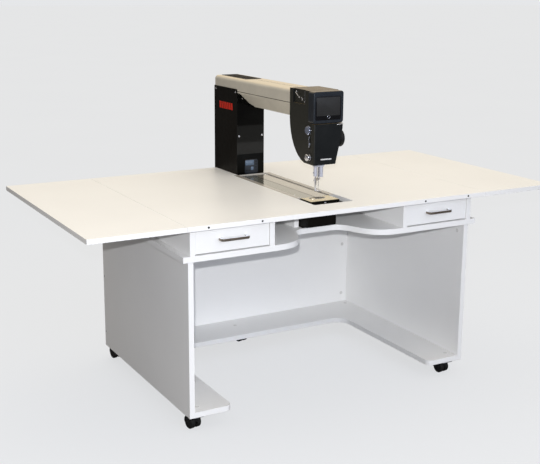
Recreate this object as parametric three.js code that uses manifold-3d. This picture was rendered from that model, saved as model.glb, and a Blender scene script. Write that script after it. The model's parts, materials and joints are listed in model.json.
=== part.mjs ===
// Quilting table with drop leaves, two drawers and a sit-down long-arm sewing machine let into its top.
// Units are millimetres and +Z is up. The sewer sits on the -Y side and the needle is on the plane x = 0.
import * as THREE from 'three';
import { mergeVertices } from 'three/addons/utils/BufferGeometryUtils.js';
import Module from 'manifold-3d';

const wasm = await Module();
wasm.setup();

// ---------------------------------------------------------------- driving dimensions
const TOP = { halfWidth: 600, halfDepth: 450, height: 720, thickness: 16 };
const LEAF = { length: 324, gap: 1 };
const CUTOUT = { halfWidth: 80, frontY: -354, wideUntilY: 258, halfWidthAtColumn: 61.5, cornerRadius: 6 };
const BOARD = 19;
const FLOOR_GAP = 51;
const PANEL = { outerX: 574, frontY: -391, rearY: 411 };
const SHELF = { topZ: 611, thickness: 20, halfWidth: 596, frontY: -403, rearY: 440, recessY: -245 };
const BASE = { footInnerX: 416, stripFrontY: 207, footRadius: 24, cornerRadius: 60 };
const UPRIGHT = { frontY: -403, outerBayX: 553, innerBayX: 282 };
const INSERT_SUPPORT = { innerX: 61.5, outerX: 79.5, frontY: -218, rearY: 257, topZ: 714 };

const DRAWER = {
  front: { thickness: 16, sideGap: 1.5, bottomZ: 615.5, topZ: 702.5, faceY: -400 },
  box: { slideGap: 13, bottomZ: 622, topZ: 690, depth: 350, wall: 12, floor: 6 },
};
const HANDLE = { length: 104, reach: 25, bar: 9.5, height: 9, centreZ: 657, outerRadius: 10 };

const HINGE = { y: [-300, 300], width: 60, plate: 2, drop: 4, barrelRadius: 3.5, pinRadius: 1.5,
  boreRadius: 1.9 };
const CASTER = {
  wheelRadius: 22, wheelWidth: 14.5, webWidth: 8, trail: 16, stemRadius: 9, axleRadius: 3.5, boreRadius: 4,
  places: [
    { name: 'front_left', x: -541, y: -365, yaw: 0.2 },
    { name: 'front_right', x: 511, y: -368, yaw: 0.12 },
    { name: 'rear_left', x: -536, y: 371, yaw: 0.15 },
    { name: 'rear_right', x: 545, y: 371, yaw: 0.3 },
    { name: 'middle_rear', x: -12, y: 304, yaw: 0.2 },
  ],
};

const COLUMN = { halfWidth: 60, frontY: 268, rearY: 466, wall: 2.5, sideTopZ: 1057, frontPlate: 2.5,
  switchHole: { x: [-36.5, -23.5], z: [750.5, 769.5] }, inletHole: { x: [10, 38], z: [749, 771] },
  cradle: { sheet: 1.4, topZ: 1041, frontY: 193 } };
const ARM = { top: 1097, side: 57.5, shoulder: 15, grooveZ: 1048.5, groove: 2, beltZ: 1043, bottomZ: 995,
  bottomHalf: 22, wall: 5, frontY: -143, rearY: 463 };
const VENT = { halfWidth: 34, frontY: 238, rearY: 452, thickness: 2 };
const HEAD = { left: -60, right: 60, rearY: -143, frontY: -310, topZ: 1102, bottomZ: 848, wall: 7,
  taperFromZ: 983, taperRightX: 28.5, screenZ: 992, screenDepth: 38, coverDepth: 20,
  guidePocket: { depth: 6, y: [-247, -166], floorZ: 1053 },
  springSlot: { depth: 5, y: [-286, -279.5], z: [903, 950] } };
const BED = { halfWidth: 58, frontY: -294, rearY: 265, bottomZ: 618, topZ: 712, coverTopZ: 717, wall: 6,
  nose: 16, plateRearY: -224, coverRearY: 248 };
const NEEDLE = { y: -246, barRadius: 3.2, pressX: -12, pressRadius: 3, footRise: 22, tipZ: 749 };
const SHAFT = { mainZ: 1050, lowerZ: 672, radius: 7 };
const HANDWHEEL = { y: -268, z: 932, radius: 31, x: [58.5, 76] };
const CLEARANCE = 0.3;

// The machine reaches behind the table, so the whole object is moved forward to centre its box.
const REAR_OVERHANG = COLUMN.rearY - TOP.halfDepth;
const TOP_UNDER_Z = TOP.height - TOP.thickness;

// ---------------------------------------------------------------- finishes
const finish = (color, roughness, metalness = 0) => ({ color, roughness, metalness });
const FINISH = {
  melamine: finish(0xf2f1ec, 0.35),
  steel: finish(0xb9bcc0, 0.35, 0.9),
  nickel: finish(0xa8a39a, 0.3, 0.95),
  rubber: finish(0x1b1b1c, 0.7),
  hood: finish(0x232325, 0.5),
  blackPaint: finish(0x15130f, 0.4),
  gloss: finish(0x0b0b0c, 0.1),
  arm: finish(0xbdb7a8, 0.45, 0.4),
  head: finish(0x1e1f20, 0.45),
  screen: finish(0x171a1f, 0.35),
  plate: finish(0xc9c3b0, 0.25, 0.8),
  acrylic: finish(0xdfe6e6, 0.05),
};

// ---------------------------------------------------------------- geometry helpers
const table = new THREE.Group();
table.position.y = -REAR_OVERHANG / 2;

function add(name, geometry, look, parent = table) {
  const mesh = new THREE.Mesh(geometry, new THREE.MeshStandardMaterial(look));
  mesh.name = name;
  parent.add(mesh);
  return mesh;
}

function box(x, y, z) {
  const geometry = new THREE.BoxGeometry(x[1] - x[0], y[1] - y[0], z[1] - z[0]);
  return geometry.translate((x[0] + x[1]) / 2, (y[0] + y[1]) / 2, (z[0] + z[1]) / 2);
}

// A cylinder between two places on the line through `at`, along one of the axes 'x', 'y' or 'z'.
function rod(axis, at, from, to, radius, sides = 24) {
  const geometry = new THREE.CylinderGeometry(radius, radius, to - from, sides);
  if (axis === 'x') geometry.rotateZ(-Math.PI / 2);
  if (axis === 'z') geometry.rotateX(Math.PI / 2);
  const middle = (from + to) / 2;
  const place = { x: [middle, at[0], at[1]], y: [at[0], middle, at[1]], z: [at[0], at[1], middle] }[axis];
  return geometry.translate(...place);
}

function shapeOf(points) {
  return new THREE.Shape(points.map(([u, v]) => new THREE.Vector2(u, v)));
}

// Plan outline (x, y) raised from z[0] to z[1].
function slab(shape, z, curveSegments = 8) {
  const depth = z[1] - z[0];
  const geometry = new THREE.ExtrudeGeometry(shape, { depth, bevelEnabled: false, curveSegments });
  return geometry.translate(0, 0, z[0]);
}

// Front outline (x, z) run from y[0] to y[1].
function alongY(shape, y, curveSegments = 8) {
  const depth = y[1] - y[0];
  const geometry = new THREE.ExtrudeGeometry(shape, { depth, bevelEnabled: false, curveSegments });
  return geometry.rotateX(Math.PI / 2).translate(0, y[1], 0);
}

// Side outline (y, z) run from x[0] to x[1].
function alongX(shape, x, curveSegments = 8) {
  const depth = x[1] - x[0];
  const geometry = new THREE.ExtrudeGeometry(shape, { depth, bevelEnabled: false, curveSegments });
  return geometry.rotateX(Math.PI / 2).rotateZ(Math.PI / 2).translate(x[0], 0, 0);
}

// A solid of revolution about the Y axis through (x, z); the profile holds [radius, y] pairs.
function turnedAlongY(profile, x, z, sides = 32) {
  const points = profile.map(([radius, y]) => new THREE.Vector2(radius, y));
  return new THREE.LatheGeometry(points, sides).translate(x, 0, z);
}

function roundedRect(u, v, radius) {
  const shape = new THREE.Shape();
  shape.moveTo(u[0] + radius, v[0]);
  shape.lineTo(u[1] - radius, v[0]);
  shape.absarc(u[1] - radius, v[0] + radius, radius, -Math.PI / 2, 0);
  shape.lineTo(u[1], v[1] - radius);
  shape.absarc(u[1] - radius, v[1] - radius, radius, 0, Math.PI / 2);
  shape.lineTo(u[0] + radius, v[1]);
  shape.absarc(u[0] + radius, v[1] - radius, radius, Math.PI / 2, Math.PI);
  shape.lineTo(u[0], v[0] + radius);
  shape.absarc(u[0] + radius, v[0] + radius, radius, Math.PI, 1.5 * Math.PI);
  return shape;
}

function toSolid(geometry) {
  const bare = geometry.clone();
  bare.deleteAttribute('normal');
  bare.deleteAttribute('uv');
  const merged = mergeVertices(bare, 1e-4);
  return new wasm.Manifold(new wasm.Mesh({
    numProp: 3,
    vertProperties: new Float32Array(merged.attributes.position.array),
    triVerts: new Uint32Array(merged.index.array),
  }));
}

function toGeometry(solid) {
  const mesh = solid.getMesh();
  const geometry = new THREE.BufferGeometry();
  geometry.setAttribute('position', new THREE.BufferAttribute(new Float32Array(mesh.vertProperties), 3));
  geometry.setIndex(new THREE.BufferAttribute(new Uint32Array(mesh.triVerts), 1));
  return geometry;
}

const join = (...parts) => toGeometry(parts.map(toSolid).reduce((whole, part) => whole.add(part)));
const cut = (body, ...tools) => toGeometry(tools.map(toSolid).reduce((left, tool) => left.subtract(tool),
  toSolid(body)));

// ---------------------------------------------------------------- top and leaves
function addTop() {
  const { halfWidth, halfDepth, height } = TOP;
  const notch = CUTOUT;
  const r = notch.cornerRadius;
  const shape = new THREE.Shape();
  shape.moveTo(-halfWidth, -halfDepth);
  shape.lineTo(halfWidth, -halfDepth);
  shape.lineTo(halfWidth, halfDepth);
  shape.lineTo(notch.halfWidthAtColumn, halfDepth);
  shape.lineTo(notch.halfWidthAtColumn, notch.wideUntilY);
  shape.lineTo(notch.halfWidth, notch.wideUntilY);
  shape.lineTo(notch.halfWidth, notch.frontY + r);
  shape.absarc(notch.halfWidth - r, notch.frontY + r, r, 0, -Math.PI / 2, true);
  shape.lineTo(-notch.halfWidth + r, notch.frontY);
  shape.absarc(-notch.halfWidth + r, notch.frontY + r, r, -Math.PI / 2, -Math.PI, true);
  shape.lineTo(-notch.halfWidth, notch.wideUntilY);
  shape.lineTo(-notch.halfWidthAtColumn, notch.wideUntilY);
  shape.lineTo(-notch.halfWidthAtColumn, halfDepth);
  shape.lineTo(-halfWidth, halfDepth);
  add('main_top', slab(shape, [TOP_UNDER_Z, height], 4), FINISH.melamine);

  const inner = halfWidth + LEAF.gap;
  const depth = [-halfDepth, halfDepth];
  add('left_leaf', box([-inner - LEAF.length, -inner], depth, [TOP_UNDER_Z, height]), FINISH.melamine);
  add('right_leaf', box([inner, inner + LEAF.length], depth, [TOP_UNDER_Z, height]), FINISH.melamine);
}

// One butt hinge under a leaf joint: the fixed plate carries the pin and the two outer knuckles.
function addLeafHinge(side, place, y) {
  const axisX = TOP.halfWidth + LEAF.gap / 2;
  const axisZ = TOP_UNDER_Z - HINGE.drop;
  const plateZ = [TOP_UNDER_Z - HINGE.plate, TOP_UNDER_Z];
  const half = HINGE.width / 2;
  const knuckle = half / 3;
  const at = [axisX, axisZ];
  const reach = HINGE.barrelRadius + 1;

  const fixed = [box([axisX - 26.5, axisX - reach], [-half, half], plateZ)];
  for (const [from, to] of [[-half, -knuckle], [knuckle, half]]) {
    fixed.push(box([axisX - reach - 1, axisX], [from, to], plateZ));
    fixed.push(rod('y', at, from, to, HINGE.barrelRadius, 16));
  }
  fixed.push(rod('y', at, -half, half, HINGE.pinRadius, 12));

  const inner = knuckle - CLEARANCE;
  const moving = join(
    box([axisX + reach, axisX + 39.5], [-half, half], plateZ),
    box([axisX, axisX + reach + 1], [-inner, inner], plateZ),
    rod('y', at, -inner, inner, HINGE.barrelRadius, 16),
  );
  const bored = cut(moving, rod('y', at, -half, half, HINGE.boreRadius, 12));

  const turn = side === 'left' ? Math.PI : 0;
  const name = `${side}_hinge_${place}`;
  add(`${name}_plate`, join(...fixed).rotateZ(turn).translate(0, y, 0), FINISH.steel);
  add(`${name}_flap`, bored.rotateZ(turn).translate(0, y, 0), FINISH.steel);
}

// ---------------------------------------------------------------- carcass
function addCarcass() {
  const { outerX, frontY, rearY } = PANEL;
  const innerX = outerX - BOARD;
  const shelfUnder = SHELF.topZ - SHELF.thickness;
  const depth = [frontY, rearY];
  add('left_side_panel', box([-outerX, -innerX], depth, [FLOOR_GAP, shelfUnder]), FINISH.melamine);
  add('right_side_panel', box([innerX, outerX], depth, [FLOOR_GAP, shelfUnder]), FINISH.melamine);

  const baseTop = FLOOR_GAP + BOARD;
  add('back_panel', box([-innerX, innerX], [rearY - BOARD, rearY], [baseTop, shelfUnder]), FINISH.melamine);
  add('base_board', slab(baseOutline(innerX), [FLOOR_GAP, baseTop], 8), FINISH.melamine);
  add('shelf_board', slab(shelfOutline(), [shelfUnder, SHELF.topZ], 8), FINISH.melamine);

  const bays = [['outer', UPRIGHT.outerBayX, UPRIGHT.outerBayX + BOARD],
    ['inner', UPRIGHT.innerBayX - BOARD, UPRIGHT.innerBayX]];
  const uprightDepth = [UPRIGHT.frontY, SHELF.rearY];
  const uprightZ = [SHELF.topZ, TOP_UNDER_Z];
  for (const [place, near, far] of bays) {
    add(`left_${place}_upright`, box([-far, -near], uprightDepth, uprightZ), FINISH.melamine);
    add(`right_${place}_upright`, box([near, far], uprightDepth, uprightZ), FINISH.melamine);
  }

  const rail = INSERT_SUPPORT;
  const railDepth = [rail.frontY, rail.rearY];
  const railZ = [SHELF.topZ, rail.topZ];
  add('left_insert_support', box([-rail.outerX, -rail.innerX], railDepth, railZ), FINISH.melamine);
  add('right_insert_support', box([rail.innerX, rail.outerX], railDepth, railZ), FINISH.melamine);
}

// U-shaped board with two feet that run forward beside the sewer's knees.
function baseOutline(halfWidth) {
  const { footInnerX: x, stripFrontY: y, footRadius: r, cornerRadius: c } = BASE;
  const { frontY, rearY } = PANEL;
  const shape = new THREE.Shape();
  shape.moveTo(-halfWidth, frontY);
  shape.lineTo(-x - r, frontY);
  shape.absarc(-x - r, frontY + r, r, -Math.PI / 2, 0);
  shape.lineTo(-x, y - c);
  shape.absarc(-x + c, y - c, c, Math.PI, Math.PI / 2, true);
  shape.lineTo(x - c, y);
  shape.absarc(x - c, y - c, c, Math.PI / 2, 0, true);
  shape.lineTo(x, frontY + r);
  shape.absarc(x + r, frontY + r, r, Math.PI, 1.5 * Math.PI);
  shape.lineTo(halfWidth, frontY);
  shape.lineTo(halfWidth, rearY);
  shape.lineTo(-halfWidth, rearY);
  return shape;
}

// Board with an S-curved recess in its front edge.
function shelfOutline() {
  const { halfWidth, frontY, rearY, recessY } = SHELF;
  const recess = 62;
  const waist = [127, -325];
  const wing = 250;
  const shape = new THREE.Shape();
  shape.moveTo(-halfWidth, frontY);
  shape.lineTo(-wing, frontY);
  shape.bezierCurveTo(-wing + 75, frontY, -waist[0] - 17, waist[1] - 40, -waist[0], waist[1]);
  shape.bezierCurveTo(-waist[0] + 19, waist[1] + 45, -recess - 35, recessY, -recess, recessY);
  shape.lineTo(recess, recessY);
  shape.bezierCurveTo(recess + 35, recessY, waist[0] - 19, waist[1] + 45, waist[0], waist[1]);
  shape.bezierCurveTo(waist[0] + 17, waist[1] - 40, wing - 75, frontY, wing, frontY);
  shape.lineTo(halfWidth, frontY);
  shape.lineTo(halfWidth, rearY);
  shape.lineTo(-halfWidth, rearY);
  return shape;
}

// ---------------------------------------------------------------- drawers
function addDrawer(side) {
  const sign = side === 'left' ? -1 : 1;
  const span = (near, far) => (sign > 0 ? [near, far] : [-far, -near]);
  const { front, box: crate } = DRAWER;
  const near = UPRIGHT.innerBayX;
  const far = UPRIGHT.outerBayX;
  const backY = front.faceY + front.thickness;

  const frontX = span(near + front.sideGap, far - front.sideGap);
  const panel = box(frontX, [front.faceY, backY], [front.bottomZ, front.topZ]);
  add(`${side}_drawer_front`, panel, FINISH.melamine);

  const x = span(near + crate.slideGap, far - crate.slideGap);
  const y = [backY, backY + crate.depth];
  const inset = ([low, high]) => [low + crate.wall, high - crate.wall];
  const hollow = box(inset(x), inset(y), [crate.bottomZ + crate.floor, crate.topZ + 10]);
  add(`${side}_drawer_box`, cut(box(x, y, [crate.bottomZ, crate.topZ]), hollow), FINISH.melamine);

  const bow = handleBow().translate(sign * (near + far) / 2, front.faceY, 0);
  add(`${side}_drawer_handle`, bow, FINISH.nickel);
}

// Bow handle: a flat bar on two bent legs, seen in plan with its feet on y = 0.
function handleBow() {
  const half = HANDLE.length / 2;
  const { reach, bar, outerRadius: r } = HANDLE;
  const legs = half - bar;
  const inner = r - bar / 2;
  const shape = new THREE.Shape();
  shape.moveTo(-half, 0);
  shape.lineTo(-half, -reach + r);
  shape.absarc(-half + r, -reach + r, r, Math.PI, 1.5 * Math.PI);
  shape.lineTo(half - r, -reach);
  shape.absarc(half - r, -reach + r, r, -Math.PI / 2, 0);
  shape.lineTo(half, 0);
  shape.lineTo(legs, 0);
  shape.lineTo(legs, -reach + bar + inner);
  shape.absarc(legs - inner, -reach + bar + inner, inner, 0, -Math.PI / 2, true);
  shape.lineTo(-legs + inner, -reach + bar);
  shape.absarc(-legs + inner, -reach + bar + inner, inner, -Math.PI / 2, -Math.PI, true);
  shape.lineTo(-legs, 0);
  return slab(shape, [HANDLE.centreZ - HANDLE.height / 2, HANDLE.centreZ + HANDLE.height / 2], 4);
}

// ---------------------------------------------------------------- casters
// The swivel stands at the group's origin and the wheels trail on its +Y side.
function addCaster({ name, x, y, yaw }) {
  const swivel = new THREE.Group();
  swivel.position.set(x, y, 0);
  swivel.rotation.z = yaw;
  table.add(swivel);

  const { wheelRadius: r, wheelWidth, webWidth, trail, stemRadius, axleRadius, boreRadius } = CASTER;
  const halfWeb = webWidth / 2;
  const centre = [trail, r];
  const web = new THREE.Shape();
  web.moveTo(-stemRadius, FLOOR_GAP - 8);
  web.lineTo(-stemRadius, r + 6);
  web.lineTo(trail - 8, r - 8);
  web.lineTo(trail + 8, r - 8);
  web.lineTo(trail + 20, r + 8);
  web.lineTo(trail + 12, FLOOR_GAP - 10);
  web.lineTo(stemRadius, FLOOR_GAP - 8);
  const stem = rod('z', [0, 0], r + 8, FLOOR_GAP - CLEARANCE, stemRadius, 20);
  const wheelRoom = rod('x', centre, -30, 30, r + 1.5, 28);
  const keptWeb = box([-halfWeb, halfWeb], [-40, 60], [0, FLOOR_GAP]);
  const hood = join(cut(stem, cut(wheelRoom, keptWeb)), alongX(web, [-halfWeb, halfWeb]));
  add(`${name}_caster_hood`, cut(hood, rod('x', centre, -30, 30, boreRadius, 24)), FINISH.hood, swivel);

  const wheelIn = halfWeb + 0.5;
  const wheelOut = wheelIn + wheelWidth;
  const rim = 1.5;
  const profile = [[0, -wheelOut], [r - rim, -wheelOut], [r, -wheelOut + rim], [r, -wheelIn - rim],
    [r - rim, -wheelIn], [axleRadius, -wheelIn], [axleRadius, wheelIn], [r - rim, wheelIn],
    [r, wheelIn + rim], [r, wheelOut - rim], [r - rim, wheelOut], [0, wheelOut]];
  const wheels = turnedAlongY(profile, 0, 0, 24).rotateZ(-Math.PI / 2).translate(0, trail, r);
  add(`${name}_caster_wheels`, wheels, FINISH.rubber, swivel);
}

// ---------------------------------------------------------------- machine stand
function addColumn() {
  const { halfWidth, frontY, rearY, wall, sideTopZ, frontPlate } = COLUMN;
  const baseZ = [SHELF.topZ, BED.bottomZ - CLEARANCE];
  add('machine_base', box([-BED.halfWidth, BED.halfWidth], [-238, rearY - 4], baseZ), FINISH.blackPaint);

  const wallY = [frontY, rearY];
  const shellZ = [BED.bottomZ, sideTopZ];
  const armHalf = ARM.side + CLEARANCE / 2;
  const shell = cut(box([-halfWidth, halfWidth], wallY, shellZ),
    box([-armHalf, armHalf], [frontY - 1, rearY - wall], [BED.bottomZ - 1, sideTopZ + 1]));
  const throughRear = ({ x, z }) => box(x, [rearY - 10, rearY + 1], z);
  add('column_shell', cut(shell, throughRear(COLUMN.switchHole), throughRear(COLUMN.inletHole)),
    FINISH.blackPaint);

  // The front plate runs on below the arm as a thin cradle whose front edge leans back to the belt line.
  const { sheet, topZ, frontY: cradleFrontY } = COLUMN.cradle;
  const plateY = [frontY - CLEARANCE - frontPlate, frontY - CLEARANCE];
  const plate = box([-halfWidth, halfWidth], plateY, [TOP.height + 2, ARM.beltZ]);
  const cradle = alongY(keelWedge(CLEARANCE + sheet, topZ), [cradleFrontY - 3, plateY[1]]);
  const lean = shapeOf([[cradleFrontY - 23, 1060], [262, 1060], [218, 1006], [cradleFrontY, 998],
    [cradleFrontY, 975], [cradleFrontY - 23, 975]]);
  const keelRoom = alongY(keelWedge(CLEARANCE, ARM.beltZ + 2), [cradleFrontY - 10, frontY + 10]);
  add('column_front_plate', cut(join(plate, cradle), keelRoom, alongX(lean, [-100, 100])), FINISH.gloss);

  // The rocker tips on a pin along X in the rear wall, just above the top.
  const rocker = new THREE.Group();
  rocker.position.set(-30, rearY - 3, 760);
  table.add(rocker);
  const cap = shapeOf([[-0.7, -9], [1.5, -9], [3, -8], [1.6, 0], [3, 8], [1.5, 9], [-0.7, 9]]);
  add('power_switch', alongX(cap, [-6, 6]), FINISH.hood, rocker);
}

// The keel's cross-section grown by an offset and carried up to a height.
function keelWedge(grow, topZ) {
  const { side, beltZ, bottomZ, bottomHalf } = ARM;
  const flare = (side - bottomHalf) / (beltZ - bottomZ);
  const halfAt = (z) => bottomHalf + (z - bottomZ) * flare + grow * Math.hypot(1, flare);
  const low = bottomZ - grow;
  return shapeOf([[-halfAt(low), low], [halfAt(low), low], [halfAt(topZ), topZ], [-halfAt(topZ), topZ]]);
}

function addArm() {
  const { top, side, shoulder, grooveZ, groove, beltZ, bottomZ, bottomHalf, wall, frontY, rearY } = ARM;
  const lowZ = grooveZ + groove / 2;
  const hat = (inset, below) => {
    const half = side - inset;
    const high = top - inset;
    const r = shoulder - inset / 2;
    const shape = new THREE.Shape();
    shape.moveTo(-half, lowZ - below);
    shape.lineTo(half, lowZ - below);
    shape.lineTo(half, high - r);
    shape.absarc(half - r, high - r, r, 0, Math.PI / 2);
    shape.lineTo(-half + r, high);
    shape.absarc(-half + r, high - r, r, Math.PI / 2, Math.PI);
    return shape;
  };
  const y = [frontY + CLEARANCE, rearY];
  const upper = cut(alongY(hat(0, 0), y, 6), alongY(hat(wall, 1), [frontY - 10, rearY - wall], 6));
  const ventSeat = box([-VENT.halfWidth - 0.5, VENT.halfWidth + 0.5], [VENT.frontY - 0.5, VENT.rearY + 0.5],
    [top - 1.2, top + 1]);
  add('arm_upper_shell', cut(upper, ventSeat), FINISH.arm);

  const highZ = grooveZ - groove / 2;
  const keel = (inset, above) => shapeOf([[-side + inset, highZ + above], [-side + inset, beltZ + inset / 3],
    [-bottomHalf + inset / 2, bottomZ + inset], [bottomHalf - inset / 2, bottomZ + inset],
    [side - inset, beltZ + inset / 3], [side - inset, highZ + above]]);
  const lower = cut(alongY(keel(0, 0), y), alongY(keel(wall, 1), [frontY - 10, COLUMN.frontY + 10]));
  const doorY = [COLUMN.frontY + 10, rearY - wall];
  const doorway = box([-bottomHalf, bottomHalf], doorY, [bottomZ - 5, highZ + 5]);
  add('arm_lower_shell', cut(lower, doorway), FINISH.arm);

  const ventZ = [top - 1.2, top - 1.2 + VENT.thickness];
  const ventPlan = roundedRect([-VENT.halfWidth, VENT.halfWidth], [VENT.frontY, VENT.rearY], 4);
  add('vent_cover', slab(ventPlan, ventZ, 3), FINISH.hood);
}

// ---------------------------------------------------------------- machine head
// Right-hand waste piece that tapers the lower head towards the needle.
function taperTool() {
  const { right, taperFromZ, taperRightX, bottomZ } = HEAD;
  const low = bottomZ - 2;
  const far = right + 20;
  const waste = shapeOf([[taperRightX, low], [far, low], [far, taperFromZ], [right, taperFromZ]]);
  return alongY(waste, [HEAD.frontY - 10, HEAD.rearY + 10]);
}

function addHead() {
  const { left, right, rearY, frontY, topZ, bottomZ, wall, screenZ, screenDepth, coverDepth, guidePocket,
    springSlot } = HEAD;
  const stepY = frontY + screenDepth + CLEARANCE;
  const faceY = frontY + coverDepth + CLEARANCE;
  const outline = (inset) => {
    const shape = new THREE.Shape();
    const rear = rearY - inset;
    const floor = bottomZ + inset;
    shape.moveTo(rear, topZ - inset);
    shape.lineTo(rear, 1000);
    shape.bezierCurveTo(rear - 3, 925, rear - 42, 865 + inset, -245, floor + 1);
    shape.lineTo(faceY - 2 * inset, floor);
    shape.lineTo(faceY - 2 * inset, screenZ);
    shape.lineTo(stepY - 2 * inset, screenZ);
    shape.lineTo(stepY - 2 * inset, topZ - inset);
    return shape;
  };
  const hollowX = [left + wall, right - wall];
  const hollow = cut(alongX(outline(wall), hollowX, 6), taperTool().translate(-wall, 0, 0));
  const shell = cut(alongX(outline(0), [left, right], 8), taperTool(), hollow);
  add('head_housing', cut(shell,
    rod('y', [0, SHAFT.mainZ], rearY - 20, rearY + 5, SHAFT.radius + 1.5, 24),
    rod('z', [0, NEEDLE.y], bottomZ - 5, bottomZ + 20, NEEDLE.barRadius + 0.4, 20),
    rod('z', [NEEDLE.pressX, NEEDLE.y], bottomZ - 5, bottomZ + 20, NEEDLE.pressRadius + 0.4, 20),
    rod('x', [HANDWHEEL.y, HANDWHEEL.z], right - 30, right + 5, 9.6, 24),
    box([left - 1, left + guidePocket.depth], guidePocket.y, [guidePocket.floorZ, topZ + 1]),
    box([left - 1, left + springSlot.depth], springSlot.y, springSlot.z),
  ), FINISH.head);

  const coverPlan = roundedRect([left - 1, right], [frontY, frontY + coverDepth + 8], 8);
  const coverZ = [bottomZ, screenZ - 2];
  const keep = box([left - 2, right + 1], [frontY + coverDepth, frontY + coverDepth + 20], [800, 1100]);
  add('head_front_cover', cut(slab(coverPlan, coverZ, 4), keep, taperTool()), FINISH.head);

  const facePlan = roundedRect([left - 3, right - 1.5], [screenZ, topZ], 9);
  add('screen_housing', alongY(facePlan, [frontY, frontY + screenDepth], 4), FINISH.screen);

  const dial = turnedAlongY([[0, -9], [11, -9], [13, -7], [13, -2], [15, -1.5], [15, 0], [0, 0]], 0, 0, 24);
  add('tension_dial', dial.rotateZ(-Math.PI / 2).translate(left, -273, 966), FINISH.steel);
  const knob = turnedAlongY([[0, -15], [9, -15], [11, -13], [11, -6], [9, -5], [9, -3.5], [12, -3],
    [12, -1.3], [6, -1.3], [6, 0], [0, 0]], 0, 0, 24);
  add('side_knob', knob.rotateZ(-Math.PI / 2).translate(left, -283, 873), FINISH.steel);

  const { y, z, radius: r, x } = HANDWHEEL;
  const wheel = turnedAlongY([[0, x[0] - 20], [9, x[0] - 20], [9, x[0]], [r - 4, x[0]], [r, x[0] + 3],
    [r, x[1] - 3], [r - 3, x[1]], [0, x[1]]], 0, 0, 32);
  add('handwheel', wheel.rotateZ(-Math.PI / 2).translate(0, y, z), FINISH.head);
}

// ---------------------------------------------------------------- needle and foot
function addNeedleGear() {
  const { y, barRadius, pressX, pressRadius, footRise, tipZ } = NEEDLE;
  const blockTop = HEAD.bottomZ - CLEARANCE;
  const guide = join(box([-19, 19], [y - 9, y + 9], [831, blockTop]), rod('z', [-13, y], 797, 835, 6.5, 20),
    rod('z', [11.5, y], 793, 835, 6.8, 20));
  add('bar_guide_block', cut(guide, rod('z', [0, y], 790, 860, barRadius + 0.4, 20),
    rod('z', [pressX, y], 790, 860, pressRadius + 0.4, 20)), FINISH.steel);

  const clampZ = [783, 792];
  add('needle_bar', join(rod('z', [0, y], clampZ[0], 900, barRadius, 16), rod('z', [0, y], ...clampZ, 5, 16),
    rod('z', [0, y], tipZ + 5, clampZ[0] + 1, 1, 8),
    new THREE.ConeGeometry(1, 6, 8).rotateX(-Math.PI / 2).translate(0, y, tipZ + 3)), FINISH.steel);

  // The foot hangs from its own bar, bends towards the needle and ends in an open ring.
  const ringZ = [BED.coverTopZ + footRise + 3, BED.coverTopZ + footRise + 6.5];
  const shank = box([pressX - 2.5, pressX + 2], [y - 3.5, y + 3.5], [ringZ[0], 790]);
  const ring = cut(rod('z', [0, y], ...ringZ, 13, 24), rod('z', [0, y], ringZ[0] - 1, ringZ[1] + 1, 7, 20));
  add('hopping_foot', join(ring, shank, rod('z', [pressX, y], 780, 895, pressRadius, 16),
    rod('z', [pressX, y], 776, 789, 5, 16)), FINISH.steel);
}

// ---------------------------------------------------------------- bed
function addBed() {
  const { halfWidth, frontY, rearY, bottomZ, topZ, coverTopZ, wall, nose, plateRearY, coverRearY } = BED;
  const wallY = frontY + nose;
  const side = new THREE.Shape();
  side.moveTo(rearY, bottomZ);
  side.lineTo(rearY, topZ);
  side.lineTo(frontY, topZ);
  side.lineTo(frontY, topZ - 16);
  side.bezierCurveTo(frontY, topZ - 40, wallY, topZ - 35, wallY, topZ - 60);
  side.lineTo(wallY, bottomZ + 10);
  side.absarc(wallY + 10, bottomZ + 10, 10, Math.PI, 1.5 * Math.PI);
  const halfRoom = halfWidth - wall;
  const room = box([-halfRoom, halfRoom], [wallY + wall, rearY + 5], [bottomZ + wall, topZ + 5]);
  const noseRoom = box([-halfRoom, halfRoom], [frontY + wall, wallY + 16], [topZ - 14, topZ + 5]);
  add('bed_housing', cut(alongX(side, [-halfWidth, halfWidth], 6), room, noseRoom), FINISH.blackPaint);

  const seam = box([-0.6, 0.6], [plateRearY - 5, coverRearY + 5], [coverTopZ - 1.5, coverTopZ + 1]);
  const coverZ = [topZ, coverTopZ];
  add('bed_cover', cut(box([-halfWidth, halfWidth], [plateRearY, coverRearY], coverZ), seam), FINISH.arm);

  const plateY = [frontY, plateRearY - CLEARANCE];
  const plate = box([-halfWidth, halfWidth], plateY, coverZ);
  add('needle_plate', cut(plate, rod('z', [0, NEEDLE.y], topZ - 1, coverTopZ + 1, 3.5, 20)), FINISH.plate);

  // Clear filler round the bed: two long strips joined by a bar at the rear.
  const { halfWidth: cutHalf, wideUntilY } = CUTOUT;
  const rim = [halfWidth + 1.5, cutHalf - 0.5];
  const clearZ = [INSERT_SUPPORT.topZ, TOP.height];
  const rearBar = [coverRearY + 1.5, wideUntilY - 1];
  add('clear_insert', slab(shapeOf([[-rim[1], plateRearY], [-rim[0], plateRearY], [-rim[0], rearBar[0]],
    [rim[0], rearBar[0]], [rim[0], plateRearY], [rim[1], plateRearY], [rim[1], rearBar[1]],
    [-rim[1], rearBar[1]]]), clearZ), FINISH.acrylic);
}

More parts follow.
